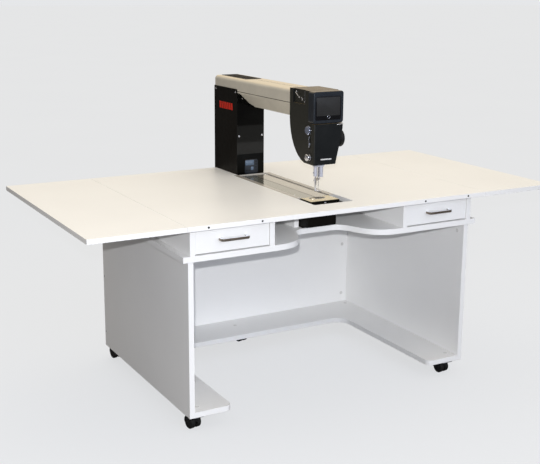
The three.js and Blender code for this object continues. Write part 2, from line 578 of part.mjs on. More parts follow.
// ---------------------------------------------------------------- drive
function addDrive() {
  const { mainZ, lowerZ, radius } = SHAFT;
  const pulleyY = [330, 346];
  const pulley = 20;
  const shaftProfile = (from, to) => [[0, from], [radius, from], [radius, pulleyY[0]], [pulley, pulleyY[0]],
    [pulley, pulleyY[1]], [radius, pulleyY[1]], [radius, to], [0, to]];
  add('main_shaft', turnedAlongY(shaftProfile(-175, 430), 0, mainZ, 24), FINISH.steel);

  const hook = [[0, -268], [9, -268], [9, -262], [20, -262], [22, -266], [24, -266], [24, -250],
    [radius, -248]];
  const lowerProfile = [...hook, ...shaftProfile(-248, 400).slice(2)];
  add('lower_shaft', turnedAlongY(lowerProfile, 0, lowerZ, 24), FINISH.steel);
}

addTop();
for (const side of ['left', 'right']) {
  const [low, high] = HINGE.y;
  addLeafHinge(side, 'front', low);
  addLeafHinge(side, 'rear', high);
}
addCarcass();
addDrawer('left');
addDrawer('right');
CASTER.places.forEach(addCaster);
addColumn();
addArm();
addHead();
addNeedleGear();
addBed();
addDrive();

export default table;
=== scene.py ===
"""The looks of a quilting table with a sit-down sewing machine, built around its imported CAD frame.

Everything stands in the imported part's frame: the sewer sits on the -Y side and +Z is up. Lengths are
written in millimetres and become metres where a mesh, a curve or a camera is made.
"""
import json
import math

import bmesh
import bpy
from mathutils import Matrix, Vector


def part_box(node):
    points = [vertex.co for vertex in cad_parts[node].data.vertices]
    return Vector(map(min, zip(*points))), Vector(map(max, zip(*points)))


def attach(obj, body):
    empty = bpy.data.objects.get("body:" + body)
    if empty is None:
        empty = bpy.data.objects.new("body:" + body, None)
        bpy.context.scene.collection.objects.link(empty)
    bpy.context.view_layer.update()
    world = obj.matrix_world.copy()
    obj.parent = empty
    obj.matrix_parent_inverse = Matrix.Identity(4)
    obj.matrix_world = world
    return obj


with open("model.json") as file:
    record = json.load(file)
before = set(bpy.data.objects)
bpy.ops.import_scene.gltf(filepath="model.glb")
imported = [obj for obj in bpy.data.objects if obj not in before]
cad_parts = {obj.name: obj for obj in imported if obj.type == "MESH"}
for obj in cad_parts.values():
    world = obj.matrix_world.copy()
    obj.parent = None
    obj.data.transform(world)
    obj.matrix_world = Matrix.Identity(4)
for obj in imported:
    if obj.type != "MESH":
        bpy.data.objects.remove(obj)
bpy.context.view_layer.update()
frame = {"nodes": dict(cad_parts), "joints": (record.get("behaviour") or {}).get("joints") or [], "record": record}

MM = 0.001
NODES = frame["nodes"]
CASTERS = ("front_left", "front_right", "rear_left", "rear_right", "middle_rear")
SIDES = (("left", -1), ("right", 1))


def box(node):
    """Lowest and highest corner of a CAD node at rest, in millimetres."""
    low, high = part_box(node)
    return low / MM, high / MM


# ---------------------------------------------------------------- materials
def input_of(node, name, value):
    node.inputs[name].default_value = value
    return node


class Surface:
    """A Principled material built up from noise in object coordinates, so its scales are per metre."""

    def __init__(self, name, roughness, metallic=0.0, stretch=(1, 1, 1), **sockets):
        self.material = bpy.data.materials.new(name)
        self.material.use_nodes = True
        self.tree = self.material.node_tree
        self.shader = self.tree.nodes["Principled BSDF"]
        self.relief = None
        input_of(self.shader, "Metallic", metallic)
        for socket, value in sockets.items():
            input_of(self.shader, socket.replace("_", " "), value)
        place = self.tree.nodes.new("ShaderNodeTexCoord").outputs["Object"]
        mapping = input_of(self.tree.nodes.new("ShaderNodeMapping"), "Scale", stretch)
        self.place = self.joined(place, mapping.inputs["Vector"], mapping.outputs["Vector"])
        low, high, scale = roughness
        self.to_shader(self.ranged(self.noise(scale, 3), 0.3, 0.7, low, high), "Roughness")

    def joined(self, output, socket, result=None):
        self.tree.links.new(output, socket)
        return result

    def to_shader(self, output, socket):
        self.tree.links.new(output, self.shader.inputs[socket])

    def noise(self, scale, detail=2.0):
        made = self.tree.nodes.new("ShaderNodeTexNoise")
        input_of(made, "Scale", scale)
        input_of(made, "Detail", detail)
        return self.joined(self.place, made.inputs["Vector"], made.outputs["Fac"])

    def ranged(self, value, from_low, from_high, to_low, to_high):
        made = self.tree.nodes.new("ShaderNodeMapRange")
        for name, number in (("From Min", from_low), ("From Max", from_high),
                             ("To Min", to_low), ("To Max", to_high)):
            input_of(made, name, number)
        return self.joined(value, made.inputs["Value"], made.outputs["Result"])

    def times(self, first, second):
        made = self.tree.nodes.new("ShaderNodeMath")
        made.operation = "MULTIPLY"
        self.tree.links.new(second, made.inputs[1])
        return self.joined(first, made.inputs[0], made.outputs[0])

    def mixed(self, factor, first, second):
        """A colour between two, each a colour or the output of another node."""
        made = self.tree.nodes.new("ShaderNodeMix")
        made.data_type = "RGBA"
        for socket, value in ((made.inputs[6], first), (made.inputs[7], second)):
            if isinstance(value, bpy.types.NodeSocket):
                self.tree.links.new(value, socket)
            else:
                socket.default_value = (*value, 1.0)
        return self.joined(factor, made.inputs[0], made.outputs[2])

    def colour(self, first, second, scale):
        """Two colours mottled by soft noise."""
        self.tint = first
        return self.overlaid(self.ranged(self.noise(scale, 3.0), 0.35, 0.65, 0.0, 1.0), second)

    def overlaid(self, mask, colour):
        """Lays another colour over the one so far, as far as the mask says."""
        self.tint = self.mixed(mask, self.tint, colour)
        self.to_shader(self.tint, "Base Color")
        return self

    def specks(self, colour, scale, share):
        """Small spots of another colour, over the given share of the surface."""
        mask = self.ranged(self.noise(scale, 1.0), 0.5 + 0.25 * (1 - share), 0.78, 0.0, 0.8)
        return self.overlaid(mask, colour)

    def part_of(self, vector, axis):
        made = self.tree.nodes.new("ShaderNodeSeparateXYZ")
        return self.joined(vector, made.inputs[0], made.outputs[axis])

    def facing(self, axis, low, high, colour):
        """Another colour where the normal leans along an axis by more than `low`, in full from `high`; each use
        here is painted light or shade on the faces turned that way.
        """
        normal = self.tree.nodes.new("ShaderNodeNewGeometry").outputs["Normal"]
        return self.overlaid(self.ranged(self.part_of(normal, axis), low, high, 0.0, 1.0), colour)

    def banded(self, axis, low, high, colour, blur=0.004):
        """Another colour between two places along an object axis, in metres, with soft rims."""
        at = self.part_of(self.place, axis)
        rise = self.ranged(at, low - blur, low + blur, 0.0, 1.0)
        fall = self.ranged(at, high - blur, high + blur, 1.0, 0.0)
        return self.overlaid(self.times(rise, fall), colour)

    def worn(self, colour, width, amount):
        """Rubbed edges, found by how far a rounded normal leans away from the face."""
        rounded = self.tree.nodes.new("ShaderNodeBevel")
        rounded.samples = 4
        input_of(rounded, "Radius", width * MM)
        dot = self.tree.nodes.new("ShaderNodeVectorMath")
        dot.operation = "DOT_PRODUCT"
        self.tree.links.new(rounded.outputs["Normal"], dot.inputs[0])
        self.tree.links.new(self.tree.nodes.new("ShaderNodeNewGeometry").outputs["Normal"], dot.inputs[1])
        edge = self.ranged(dot.outputs["Value"], 0.97, 0.8, 0.0, amount)
        patchy = self.ranged(self.noise(120.0, 4.0), 0.35, 0.7, 0.0, 1.0)
        return self.overlaid(self.times(edge, patchy), colour)

    def bump(self, scale, height):
        """Fine relief, with its height in millimetres. A second call lies over the first."""
        made = input_of(self.tree.nodes.new("ShaderNodeBump"), "Distance", height * MM)
        self.tree.links.new(self.noise(scale), made.inputs["Height"])
        if self.relief:
            self.tree.links.new(self.relief, made.inputs["Normal"])
        self.relief = made.outputs["Normal"]
        self.to_shader(self.relief, "Normal")
        return self


def grain(along):
    """How noise is stretched so that it runs as a grain along one axis."""
    return tuple(0.04 if axis == along else 1.0 for axis in "xyz")


def brushed(name, colour, darker, roughness, along):
    """Brushed metal whose grain runs along one axis."""
    made = Surface(name, roughness, metallic=1.0, stretch=grain(along))
    return made.colour(colour, darker, 900.0).bump(1400.0, 0.004).material


LOOKS = {
    "melamine": Surface("melamine", (0.34, 0.46, 90.0))
    .colour((0.905, 0.90, 0.885), (0.875, 0.87, 0.855), 2.2).bump(700.0, 0.02).bump(45.0, 0.03).material,
    "zinc_steel": Surface("zinc_steel", (0.26, 0.42, 160.0), metallic=1.0)
    .colour((0.62, 0.63, 0.65), (0.46, 0.47, 0.5), 130.0).bump(900.0, 0.006).material,
    # brushed_nickel: the pale colour on faces turned up is a painted highlight over the dark brown of the rest
    "brushed_nickel": Surface("brushed_nickel", (0.24, 0.38, 500.0), metallic=0.85, stretch=grain("x"))
    .colour((0.30, 0.25, 0.20), (0.2, 0.165, 0.13), 900.0).facing("Z", 0.3, 0.8, (0.92, 0.94, 0.98))
    .bump(1400.0, 0.004).material,
    "black_plastic": Surface("black_plastic", (0.42, 0.58, 60.0), Specular_IOR_Level=0.25)
    .colour((0.006, 0.006, 0.0065), (0.010, 0.0098, 0.0095), 40.0).bump(1100.0, 0.03).material,
    "wheel_black": Surface("wheel_black", (0.5, 0.7, 70.0), Specular_IOR_Level=0.25)
    .colour((0.005, 0.005, 0.005), (0.011, 0.010, 0.009), 60.0).specks((0.04, 0.037, 0.033), 300.0, 0.3)
    .bump(800.0, 0.03).material,
    "black_paint": Surface("black_paint", (0.36, 0.5, 50.0), Specular_IOR_Level=0.08)
    .colour((0.004, 0.0033, 0.0024), (0.006, 0.005, 0.0038), 9.0).worn((0.09, 0.085, 0.08), 0.8, 0.6)
    .bump(1500.0, 0.012).material,
    # gloss_black: the paler band from 0.79 m to 0.913 m up is a painted reflection of the room in the glossy front
    # plate
    "gloss_black": Surface("gloss_black", (0.04, 0.07, 30.0), Specular_IOR_Level=0.2)
    .colour((0.002, 0.002, 0.0018), (0.004, 0.004, 0.0035), 14.0)
    .banded("Z", 0.79, 0.913, (0.012, 0.012, 0.011)).bump(12.0, 0.02).material,
    # arm_silver: the cream colour on faces turned up is a painted highlight of the warm overhead light
    "arm_silver": Surface("arm_silver", (0.36, 0.48, 80.0), metallic=0.25)
    .colour((0.64, 0.595, 0.50), (0.59, 0.55, 0.465), 14.0).specks((0.76, 0.73, 0.66), 1500.0, 0.25)
    .facing("Z", 0.5, 0.95, (0.74, 0.64, 0.48)).bump(1300.0, 0.01).material,
    # head_black: painted light makes faces turned to the left lighter, and faces turned up carry a warm painted
    # highlight; the paler rubbed edges are wear
    "head_black": Surface("head_black", (0.32, 0.44, 50.0), Specular_IOR_Level=0.2)
    .colour((0.005, 0.006, 0.0065), (0.008, 0.009, 0.0095), 12.0)
    .facing("X", -0.3, -0.9, (0.02, 0.0195, 0.0155)).facing("Z", 0.5, 0.95, (0.17, 0.125, 0.07))
    .worn((0.11, 0.11, 0.1), 0.7, 0.35).bump(1200.0, 0.02).material,
    # screen_black: faces turned up carry the same warm painted highlight
    "screen_black": Surface("screen_black", (0.28, 0.38, 40.0), Specular_IOR_Level=0.35)
    .colour((0.009, 0.0115, 0.016), (0.012, 0.016, 0.022), 16.0)
    .facing("Z", 0.5, 0.95, (0.17, 0.125, 0.07)).bump(1300.0, 0.014).material,
    "chrome": Surface("chrome", (0.06, 0.16, 200.0), metallic=1.0)
    .colour((0.78, 0.78, 0.8), (0.66, 0.66, 0.7), 90.0).bump(500.0, 0.003).material,
    "plate_steel": brushed("plate_steel", (0.72, 0.64, 0.46), (0.6, 0.53, 0.38), (0.2, 0.32, 300.0), "y"),
    "clear_acrylic": Surface("clear_acrylic", (0.05, 0.1, 60.0), Transmission_Weight=0.15, IOR=1.49)
    .colour((0.56, 0.52, 0.46), (0.5, 0.465, 0.41), 12.0).bump(20.0, 0.01).material,
    "shaft_steel": brushed("shaft_steel", (0.56, 0.56, 0.57), (0.45, 0.45, 0.47), (0.2, 0.34, 300.0), "y"),
    # looks that only the added pieces and three CAD nodes wear
    # bed_gloss: the darker band over the left half, from X = -0.1 m to 0, is a painted reflection of the black
    # column; the thin dark line at X = 0 is the centre seam
    "bed_gloss": Surface("bed_gloss", (0.08, 0.15, 30.0), metallic=0.35, Coat_Weight=0.5,
                         Coat_Roughness=0.05)
    .colour((0.47, 0.44, 0.38), (0.43, 0.40, 0.345), 18.0)
    .banded("X", -0.1, 0.0, (0.25, 0.25, 0.215), 0.001)
    .banded("X", -0.0016, 0.0016, (0.02, 0.014, 0.008), 0.0006).bump(14.0, 0.03).material,
    "cast_silver": Surface("cast_silver", (0.26, 0.38, 120.0), metallic=0.3)
    .colour((0.60, 0.61, 0.68), (0.5, 0.51, 0.58), 60.0).bump(900.0, 0.006).material,
    "dial_grey": Surface("dial_grey", (0.22, 0.34, 120.0), metallic=0.4)
    .colour((0.17, 0.19, 0.25), (0.12, 0.135, 0.18), 80.0).bump(900.0, 0.005).material,
    "screen_glass": Surface("screen_glass", (0.3, 0.4, 25.0), Specular_IOR_Level=0.2)
    .colour((0.022, 0.022, 0.022), (0.026, 0.026, 0.026), 20.0).bump(10.0, 0.01).material,
    "screen_rim": Surface("screen_rim", (0.1, 0.16, 25.0), Specular_IOR_Level=0.15)
    .colour((0.004, 0.004, 0.005), (0.007, 0.007, 0.008), 20.0).bump(900.0, 0.004).material,
    "display_blue": Surface("display_blue", (0.15, 0.25, 60.0), Coat_Weight=0.5)
    .colour((0.075, 0.115, 0.17), (0.055, 0.09, 0.14), 90.0).bump(900.0, 0.003).material,
    "mark_red": Surface("mark_red", (0.35, 0.5, 90.0), Specular_IOR_Level=0.2)
    .colour((0.62, 0.028, 0.012), (0.5, 0.02, 0.01), 60.0).bump(1200.0, 0.006).material,
    "satin_dark": Surface("satin_dark", (0.3, 0.42, 60.0), Specular_IOR_Level=0.06)
    .colour((0.0025, 0.0025, 0.0018), (0.004, 0.0038, 0.003), 30.0).bump(1000.0, 0.01).material,
    "louvre_brown": Surface("louvre_brown", (0.4, 0.55, 60.0))
    .colour((0.045, 0.035, 0.022), (0.03, 0.024, 0.016), 30.0).bump(1100.0, 0.02).material,
    "badge_grey": Surface("badge_grey", (0.3, 0.42, 90.0))
    .colour((0.62, 0.62, 0.62), (0.5, 0.5, 0.5), 90.0).bump(900.0, 0.01).material,
    "cap_white": Surface("cap_white", (0.3, 0.42, 90.0))
    .colour((0.72, 0.71, 0.69), (0.66, 0.65, 0.63), 200.0).bump(900.0, 0.01).material,
    "dull_nickel": Surface("dull_nickel", (0.22, 0.36, 200.0), metallic=1.0)
    .colour((0.42, 0.44, 0.5), (0.3, 0.31, 0.36), 120.0).bump(900.0, 0.004).material,
}


# ---------------------------------------------------------------- mesh helpers
def axis_frame(at, axis):
    """A matrix whose origin is `at` and whose Z axis runs along `axis`."""
    return Matrix.Translation(at) @ Vector(axis).to_track_quat("Z", "Y").to_matrix().to_4x4()


def wall_frame(at, outward):
    """A matrix for something that lies on a wall: X runs level along it, Y up, and Z out of it."""
    out = Vector(outward).normalized()
    up = Vector((0, 0, 1)) if abs(out.z) < 0.9 else Vector((0, 1, 0))
    across = up.cross(out).normalized()
    turn = Matrix((across, out.cross(across), out)).transposed()
    return Matrix.Translation(at) @ turn.to_4x4()


def add_box(mesh, low, high, bevel=0.0, segments=2, turn=None):
    """A box with rounded edges. `turn` is a matrix about the box's own middle."""
    low, high = Vector(low), Vector(high)
    middle, size = (low + high) / 2, high - low
    verts = bmesh.ops.create_cube(mesh, size=1.0)["verts"]
    for vert in verts:
        vert.co = Vector(a * b for a, b in zip(vert.co, size))
    if turn is not None:
        bmesh.ops.transform(mesh, matrix=turn, verts=verts)
    bmesh.ops.translate(mesh, vec=middle, verts=verts)
    if bevel:
        edges = list({edge for vert in verts for edge in vert.link_edges})
        bmesh.ops.bevel(mesh, geom=edges, offset=bevel, segments=segments, profile=0.5, affect="EDGES")


def add_turned(mesh, profile, place, sides=32, closed=False):
    """A solid of revolution about the Z axis of `place`. The profile holds (radius, height) pairs."""
    rings = []
    for radius, height in profile:
        if radius < 1e-6:
            rings.append([mesh.verts.new(place @ Vector((0, 0, height)))])
            continue
        angles = (2 * math.pi * k / sides for k in range(sides))
        rings.append([mesh.verts.new(place @ Vector((radius * math.cos(a), radius * math.sin(a), height)))
                      for a in angles])
    pairs = list(zip(rings, rings[1:])) + ([(rings[-1], rings[0])] if closed else [])
    for low, high in pairs:
        for k in range(sides):
            n = (k + 1) % sides
            around = (low[k % len(low)], low[n % len(low)], high[n % len(high)], high[k % len(high)])
            corners = list(dict.fromkeys(around))
            if len(corners) > 2:
                mesh.faces.new(corners)


def add_plate(mesh, outline, place, thickness, bevel=0.0, segments=2):
    """A flat outline of (u, v) points, raised along the Z axis of `place`, with its upper rim rounded."""
    low = [mesh.verts.new(place @ Vector((u, v, 0))) for u, v in outline]
    high = [mesh.verts.new(place @ Vector((u, v, thickness))) for u, v in outline]
    mesh.faces.new(low[::-1])
    top = mesh.faces.new(high)
    for k in range(len(outline)):
        n = (k + 1) % len(outline)
        mesh.faces.new((low[k], low[n], high[n], high[k]))
    if bevel:
        bmesh.ops.bevel(mesh, geom=list(top.edges), offset=bevel, segments=segments, profile=0.5,
                        affect="EDGES")


def add_box_ring(mesh, place, count, low, high, bevel, segments):
    """Equal boxes round the Z axis of `place`; the corners are those of the box on its X axis."""
    for k in range(count):
        start = len(mesh.verts)
        add_box(mesh, low, high, bevel, segments)
        mesh.verts.ensure_lookup_table()
        bmesh.ops.transform(mesh, matrix=place @ Matrix.Rotation(2 * math.pi * k / count, 4, "Z"),
                            verts=mesh.verts[start:])


def add_skin(mesh, loops, closed=False):
    """Faces between loops of points that follow one another. A closed skin runs back to the first loop."""
    loops = [[mesh.verts.new(point) for point in loop] for loop in loops]
    for first, second in zip(loops, loops[1:] + (loops[:1] if closed else [])):
        for k in range(len(first)):
            n = (k + 1) % len(first)
            mesh.faces.new((first[k], first[n], second[n], second[k]))
    return loops


def add_ring_plate(mesh, outer, inner, place, thickness):
    """A flat frame between two outlines with the same number of points."""
    add_skin(mesh, [[place @ Vector((u, v, z)) for u, v in line]
                    for line, z in ((outer, 0), (outer, thickness), (inner, thickness), (inner, 0))],
             closed=True)


def rounded(width, height, radius, centre=(0, 0), steps=5):
    """The outline of a rectangle with rounded corners, anticlockwise."""
    points = []
    for corner, (sx, sy) in enumerate(((1, 1), (-1, 1), (-1, -1), (1, -1))):
        cx = centre[0] + sx * (width / 2 - radius)
        cy = centre[1] + sy * (height / 2 - radius)
        for k in range(steps + 1):
            angle = math.pi / 2 * (corner + k / steps)
            points.append((cx + radius * math.cos(angle), cy + radius * math.sin(angle)))
    return points


def piece(name, mesh, look, body="root"):
    """Turns a mesh in millimetres into a named piece that rides on a CAD body."""
    bmesh.ops.recalc_face_normals(mesh, faces=mesh.faces)
    mesh.transform(Matrix.Scale(MM, 4))
    data = bpy.data.meshes.new(name)
    mesh.to_mesh(data)
    mesh.free()
    data.shade_smooth()
    data.set_sharp_from_angle(angle=math.radians(35.0))
    made = bpy.data.objects.new(name, data)
    return dressed(made, look, body)


def dressed(made, look, body):
    bpy.context.scene.collection.objects.link(made)
    made.data.materials.append(LOOKS[look])
    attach(made, body)
    return made


def wire(name, points, radius, look, body="root"):
    """A round wire on a smooth curve through points in millimetres."""
    curve = bpy.data.curves.new(name, "CURVE")
    curve.dimensions = "3D"
    curve.bevel_depth = radius * MM
    curve.bevel_resolution = 3
    curve.resolution_u = 8
    curve.use_fill_caps = True
    spline = curve.splines.new("BEZIER")
    spline.bezier_points.add(len(points) - 1)
    for knot, point in zip(spline.bezier_points, points):
        knot.co = Vector(point) * MM
        knot.handle_left_type = knot.handle_right_type = "AUTO"
    return dressed(bpy.data.objects.new(name, curve), look, body)


def carved(build, tool):
    """The mesh that build() makes, less the mesh that tool() makes."""
    parts = []
    for make in (build, tool):
        mesh = bmesh.new()
        make(mesh)
        bmesh.ops.recalc_face_normals(mesh, faces=mesh.faces)
        data = bpy.data.meshes.new("work")
        mesh.to_mesh(data)
        mesh.free()
        parts.append(bpy.data.objects.new("work", data))
        bpy.context.scene.collection.objects.link(parts[-1])
    whole, taken = parts
    boolean = whole.modifiers.new("carve", "BOOLEAN")
    boolean.operation = "DIFFERENCE"
    boolean.object = taken
    boolean.solver = "EXACT"
    evaluated = whole.evaluated_get(bpy.context.evaluated_depsgraph_get())
    result = bpy.data.meshes.new_from_object(evaluated)
    for part in parts:
        bpy.data.objects.remove(part)
    return result


# of a screw head whose radius is 1
DOME_HEIGHT = 0.56


def screw_heads():
    """A cross-recessed pan head and a hex-socket button head, each of radius 1 and standing on z = 0."""
    def dome(mesh):
        add_turned(mesh, [(0, -0.1), (1, -0.1), (1, 0.12), (0.9, 0.3), (0.66, 0.46), (0.34, 0.54),
                          (0, DOME_HEIGHT)], Matrix.Identity(4), 24)

    def cross(mesh):
        add_box(mesh, (-0.56, -0.11, 0.2), (0.56, 0.11, 0.8))
        add_box(mesh, (-0.11, -0.56, 0.2), (0.11, 0.56, 0.8))

    def socket(mesh):
        add_turned(mesh, [(0, 0.14), (0.46, 0.14), (0.46, 0.8), (0, 0.8)], Matrix.Identity(4), 6)

    return {"cross": carved(dome, cross), "hex": carved(dome, socket)}


HEADS = screw_heads()


def screws(name, places, radius, look, body, kind="cross", proud=None):
    """Screw heads as one piece. Each place is (position, outward direction), and the dome stands proud."""
    mesh = bmesh.new()
    height = (proud or radius * DOME_HEIGHT) / DOME_HEIGHT
    for k, (at, out) in enumerate(places):
        turn = Matrix.Rotation(0.7 * k, 4, "Z") @ Matrix.Diagonal((radius, radius, height, 1))
        whole = HEADS[kind].copy()
        whole.transform(axis_frame(at, out) @ turn)
        mesh.from_mesh(whole)
        bpy.data.meshes.remove(whole)
    return piece(name, mesh, look, body)


def soften(node, width, segments):
    """Rounds a CAD node's edges by modifiers, so that its own mesh stays as it is."""
    made = NODES[node]
    if "custom_normal" in made.data.attributes:
        made.data.attributes.remove(made.data.attributes["custom_normal"])
    made.data.shade_smooth()
    weld = made.modifiers.new("weld", "WELD")
    weld.merge_threshold = 0.00002
    flat = made.modifiers.new("flat", "DECIMATE")
    flat.decimate_type = "DISSOLVE"
    flat.angle_limit = math.radians(1.0)
    bevel = made.modifiers.new("bevel", "BEVEL")
    bevel.width = width * MM
    bevel.segments = segments
    bevel.limit_method = "ANGLE"
    bevel.angle_limit = math.radians(30.0)
    bevel.harden_normals = True


# ---------------------------------------------------------------- CAD nodes
def dress_cad_nodes():
    """Every CAD node wears its record slot's material and gets softened edges."""
    for row in frame["record"]["subparts"]:
        data = NODES[row["node"]].data
        data.materials.clear()
        data.materials.append(LOOKS[row["material_slot"]])
    for node, look in (("bed_cover", "bed_gloss"), ("bar_guide_block", "cast_silver"),
                       ("tension_dial", "dial_grey")):
        NODES[node].data.materials[0] = LOOKS[look]
    # bevel width in millimetres, and its segments
    rounding = {
        "melamine": (0.5, 2), "zinc_steel": (0.25, 1), "brushed_nickel": (1.1, 3), "black_plastic": (0.9, 2),
        "wheel_black": (0.5, 2), "black_paint": (0.8, 2), "gloss_black": (0.5, 2), "arm_silver": (0.6, 2),
        "head_black": (1.4, 3), "screen_black": (3.2, 4), "chrome": (0.5, 2), "plate_steel": (0.5, 2),
        "clear_acrylic": (0.5, 2), "shaft_steel": (0.6, 2),
    }
    for row in frame["record"]["subparts"]:
        soften(row["node"], *rounding[row["material_slot"]])


# ---------------------------------------------------------------- table details
def make_table_fasteners():
    """Screws in the top's front edge and the side panels, and caps where boards are joined."""
    low, high = box("main_top")
    front = (0, -1, 0)
    edge_z = (low.z + high.z) / 2
    screws("top_edge_screws", [((x, low.y - 0.1, edge_z), front) for x in (-528, -336, 324, 518)],
           3.6, "black_plastic", "root", proud=0.3)

    back_low, back_high = box("back_panel")
    back_middle = (back_low.y + back_high.y) / 2
    for side, sign in SIDES:
        low, high = box(f"{side}_side_panel")
        outer = high.x if sign > 0 else low.x
        inner = low.x if sign > 0 else high.x
        out = (sign, 0, 0)
        screws(f"{side}_panel_screws", [((outer, back_middle, z), out) for z in (110, 338, 560)],
               3.6, "zinc_steel", "root", proud=0.8)
        caps(f"{side}_panel_caps", [((inner, y, high.z - 33), (-sign, 0, 0))
                                    for y in (low.y + 38, high.y - 70)])

    inset = 26
    caps("back_panel_caps", [((sign * (back_high.x - inset), back_low.y, z), front)
                             for _, sign in SIDES for z in (109, 335)])
    low, high = box("base_board")
    places = [((sign * (high.x - inset), y, high.z), (0, 0, 1)) for _, sign in SIDES for y in (-357, 348)]
    caps("base_board_caps", places + [((-41, 315, high.z), (0, 0, 1))])


def caps(name, places):
    """Moulded covers over cam locks: a low disc with a raised rim and a screwdriver notch."""
    def disc(mesh):
        for at, out in places:
            add_turned(mesh, [(0, -0.5), (7.4, -0.5), (7.4, 0.4), (7.0, 0.9), (6.2, 1.0), (5.9, 0.7),
                              (0, 0.7)], axis_frame(at, out), 28)

    def notch(mesh):
        for at, out in places:
            start = len(mesh.verts)
            add_box(mesh, (-3.2, -0.5, 0.35), (3.2, 0.5, 2.0))
            mesh.verts.ensure_lookup_table()
            bmesh.ops.transform(mesh, matrix=axis_frame(at, out), verts=mesh.verts[start:])

    mesh = bmesh.new()
    mesh.from_mesh(carved(disc, notch))
    return piece(name, mesh, "cap_white")


def make_drawer_runners():
    """Two-part ball runners: the outer rail is screwed to the upright, the inner one to the drawer box."""
    depth, inset, slide_gap = 346, 2, 13
    outer_rail = [(0, -18), (5.5, -18), (5.5, -14), (4.4, -14), (4.4, -16.9), (1.1, -16.9), (1.1, 16.9),
                  (4.4, 16.9), (4.4, 14), (5.5, 14), (5.5, 18), (0, 18)]
    inner_rail = [(0, -11), (6.4, -11), (6.4, -7), (5.4, -7), (5.4, -9.9), (1.1, -9.9), (1.1, 9.9),
                  (5.4, 9.9), (5.4, 7), (6.4, 7), (6.4, 11), (0, 11)]
    for side, _ in SIDES:
        crate_low, crate_high = box(f"{side}_drawer_box")
        z = (crate_low.z + crate_high.z) / 2
        for wall, x, out in (("low", crate_low.x, 1), ("high", crate_high.x, -1)):
            upright_x = x - out * slide_gap
            for kind, rail, at, way, body in (
                    ("fixed", outer_rail, upright_x, out, "root"),
                    ("moving", inner_rail, x, -out, f"{side}_drawer_body")):
                mesh = bmesh.new()
                turn = Matrix(((way, 0, 0), (0, 0, 1), (0, 1, 0))).to_4x4()
                add_plate(mesh, rail, Matrix.Translation((at, crate_low.y + inset, z)) @ turn, depth)
                piece(f"{side}_runner_{wall}_{kind}", mesh, "zinc_steel", body)


def make_hinge_screws():
    """Three screws in each leaf of a hinge, set in a triangle away from the barrel."""
    under = box("main_top")[0].z - 2
    down = (0, 0, -1)
    for side, sign in SIDES:
        for place in ("front", "rear"):
            for part, body, outward in (("plate", "root", -sign), ("flap", f"{side}_leaf_body", sign)):
                low, high = box(f"{side}_hinge_{place}_{part}")
                far = high.x if outward > 0 else low.x
                middle = (low.y + high.y) / 2
                spots = [(far - outward * inset, middle + y) for inset, y in ((7, -21), (7, 21), (15, 0))]
                screws(f"{side}_hinge_{place}_{part}_screws", [((x, y, under), down) for x, y in spots],
                       3.2, "zinc_steel", body, proud=0.9)


def make_caster(name):
    """Mounting plate on the base board, moulded cover over the wheels, tyre treads and hub caps."""
    joints = {joint["name"]: joint for joint in frame["joints"]}
    swivel = Vector(joints[f"{name}_caster_swivel"]["pos_m"]) / MM
    roll = joints[f"{name}_caster_roll"]
    hub, axle = Vector(roll["pos_m"]) / MM, Vector(roll["axis"]).normalized()
    radius = hub.z
    trail = (hub - swivel) * Vector((1, 1, 0))
    forward = trail.normalized()

    mesh = bmesh.new()
    sheet, spread = 2.2, 17
    plate_z = box(f"{name}_caster_hood")[1].z - 0.1 - sheet
    add_plate(mesh, rounded(46, 46, 6), Matrix.Translation((swivel.x, swivel.y, plate_z)), sheet, 0.5)
    piece(f"{name}_caster_plate", mesh, "zinc_steel")
    corners = [((swivel.x + spread * sx, swivel.y + spread * sy, plate_z), (0, 0, -1))
               for sx in (-1, 1) for sy in (-1, 1)]
    screws(f"{name}_caster_plate_screws", corners, 3.0, "zinc_steel", "root")

    # the cover is an arched shell between two radii about the axle, over the upper rear of the wheels
    mesh = bmesh.new()
    inner, shoulder, outer = radius + 1.6, radius + 3.2, radius + 4.0
    reach = 19.0
    start, sweep = -12, 132
    steps = 18
    rows = []
    for k in range(steps + 1):
        angle = math.radians(start + sweep * k / steps)
        way = forward * math.cos(angle) + Vector((0, 0, 1)) * math.sin(angle)
        taper = 1 - 0.12 * abs(2 * k / steps - 1) ** 3
        rows.append([hub + way * r + axle * (s * reach * taper)
                     for r, s in ((inner, -1), (shoulder, -1), (outer, -0.9),
                                  (outer, 0.9), (shoulder, 1), (inner, 1))])
    rows = add_skin(mesh, rows)
    mesh.faces.new(rows[0][::-1])
    mesh.faces.new(rows[-1])
    piece(f"{name}_caster_cover", mesh, "black_plastic", f"{name}_caster_body")

    # a tyre with a centre groove, and a dished hub cap with a raised boss
    tread = radius + 0.05
    tyre = [(radius - 3, 5.2), (tread, 6.0), (tread, 11.2), (radius - 0.5, 11.8), (tread, 12.4),
            (tread, 17.5), (radius - 3, 19.1), (radius - 4, 18.7)]
    cap = [(radius - 5, 18.8), (radius - 6, 19.6), (radius - 8, 19.2), (6.5, 19.1), (5.5, 20.0), (0, 20.3)]
    for part, profile, sides, look in (("tyres", tyre, 40, "wheel_black"),
                                       ("hubs", cap, 32, "black_plastic")):
        mesh = bmesh.new()
        for way in (-1, 1):
            add_turned(mesh, profile, axis_frame(hub, axle * way), sides)
        piece(f"{name}_caster_{part}", mesh, look, f"{name}_wheels_body")


